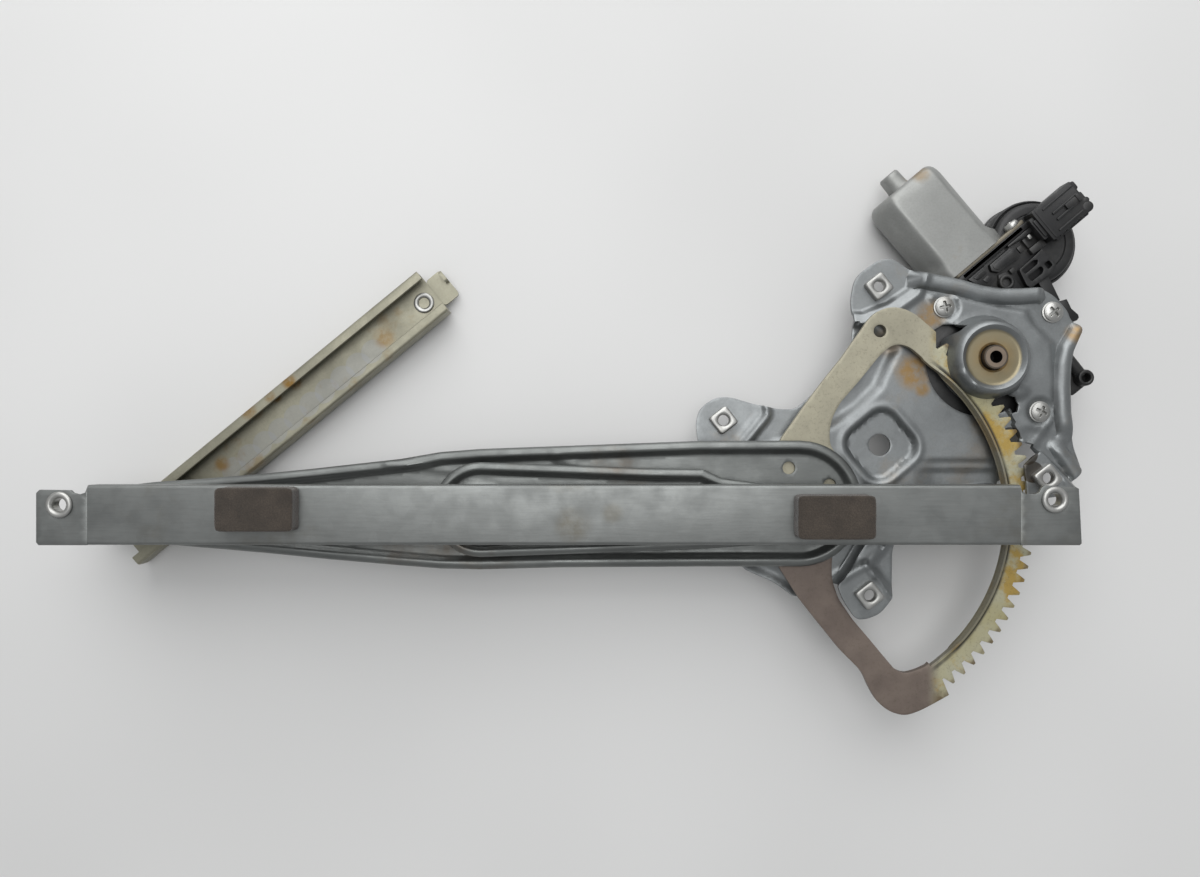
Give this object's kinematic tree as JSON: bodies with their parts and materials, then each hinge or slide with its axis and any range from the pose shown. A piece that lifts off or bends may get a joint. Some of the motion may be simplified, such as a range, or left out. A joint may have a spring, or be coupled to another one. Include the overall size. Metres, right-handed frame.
{
  "type": "window regulator",
  "caption": "Powered X-arm vehicle window regulator: toothed sector and motor on a pressed plate, crossed arms, glass rail and guide channel with rollers.",
  "frame": {"origin": "centre of the base plate's locating hole, in the middle of the sheet", "axes": "+X along the glass rail towards the motor end, +Y up along the glass travel, +Z towards the glass"},
  "size_m": [0.4696, 0.2567, 0.0669],
  "materials": {
    "plate_steel": "zinc plated, satin",
    "bare_steel": "bare, oiled",
    "galvanised": "galvanised",
    "gear_steel": "bare, greasy",
    "bright_steel": "bright zinc",
    "can_steel": "bright drawn",
    "black_plastic": "moulded, satin",
    "roller_plastic": "moulded",
    "pinion_steel": "sintered",
    "foam": "dark felt-faced foam",
    "magnet": "ferrite",
    "copper": "copper"
  },
  "bodies": {
    "base": {"base_plate": "plate_steel", "plate_bridge": "plate_steel", "plate_tab_top": "plate_steel", "plate_tab_left": "plate_steel", "pivot_pin": "bright_steel", "nut_top": "bright_steel", "nut_left": "bright_steel", "nut_bottom": "bright_steel", "nut_right": "bright_steel", "motor_screw_1": "bright_steel", "motor_screw_2": "bright_steel", "motor_screw_3": "bright_steel", "gear_housing": "black_plastic", "housing_cover": "can_steel", "electronics_drum": "black_plastic", "motor_can": "can_steel", "brush_plate": "can_steel", "magnet_left": "magnet", "magnet_right": "magnet", "connector_shell": "black_plastic", "connector_terminals": "bright_steel"},
    "output": {"pinion": "pinion_steel", "worm_wheel": "roller_plastic"},
    "armature": {"motor_shaft": "pinion_steel", "armature_core": "magnet", "commutator": "copper"},
    "lift": {"sector_gear": "gear_steel", "lift_arm": "galvanised", "lift_stud": "bright_steel"},
    "equalizer": {"equalizer_front": "galvanised", "equalizer_rear": "galvanised", "crossing_hub": "bare_steel", "crossing_rivet": "bright_steel", "front_stud": "bright_steel", "rear_stud": "bright_steel"},
    "arm_roller": {"roller_a": "roller_plastic"},
    "rail_roller": {"roller_b": "roller_plastic"},
    "guide_roller": {"roller_d": "roller_plastic"},
    "rail": {"glass_rail": "galvanised", "rail_nut_left": "bright_steel", "rail_nut_right": "bright_steel", "pad_left": "foam", "pad_right": "foam"},
    "guide": {"guide_channel": "galvanised", "guide_nut_upper": "bright_steel", "guide_nut_lower": "bright_steel"}
  },
  "joints": [
    {"name": "lift_swing", "type": "hinge", "parent": "base", "child": "lift", "pos_m": [-0.0292, -0.0321, 0.01], "axis": [0, 0, 1], "range_deg": [-6, 50]},
    {"name": "pinion_spin", "type": "hinge", "parent": "base", "child": "output", "pos_m": [0.04643, 0.03929, 0.01], "axis": [0, 0, 1], "range_deg": [-600, 72]},
    {"name": "motor_spin", "type": "hinge", "parent": "base", "child": "armature", "pos_m": [0.06766, 0.05724, -0.0094], "axis": [-0.6455, 0.7638, 0], "continuous": true},
    {"name": "crossing_swing", "type": "hinge", "parent": "lift", "child": "equalizer", "pos_m": [-0.1827, -0.03097, 0.012], "axis": [0, 0, 1], "range_deg": [-100, 12]},
    {"name": "arm_roller_spin", "type": "hinge", "parent": "lift", "child": "arm_roller", "pos_m": [-0.33619, -0.02985, 0.029], "axis": [0, 0, 1], "continuous": true},
    {"name": "rail_level", "type": "hinge", "parent": "equalizer", "child": "rail_roller", "pos_m": [-0.0292, -0.02985, 0.029], "axis": [0, 0, 1], "range_deg": [-6, 50]},
    {"name": "rail_slide", "type": "slide", "parent": "rail_roller", "child": "rail", "axis": [1, 0, 0], "range_m": [-0.06, 0.01]},
    {"name": "guide_swing", "type": "hinge", "parent": "equalizer", "child": "guide_roller", "pos_m": [-0.33619, -0.0321, -0.009], "axis": [0, 0, 1], "range_deg": [-60, 60]},
    {"name": "guide_slide", "type": "slide", "parent": "guide_roller", "child": "guide", "axis": [-0.7727, -0.6347, 0], "range_m": [-0.008, 0.125]}
  ],
  "couplings": [
    {"joint": "pinion_spin", "follows": "lift_swing", "ratio": -12},
    {"joint": "crossing_swing", "follows": "lift_swing", "ratio": -2},
    {"joint": "rail_level", "follows": "lift_swing", "ratio": 1}
  ]
}
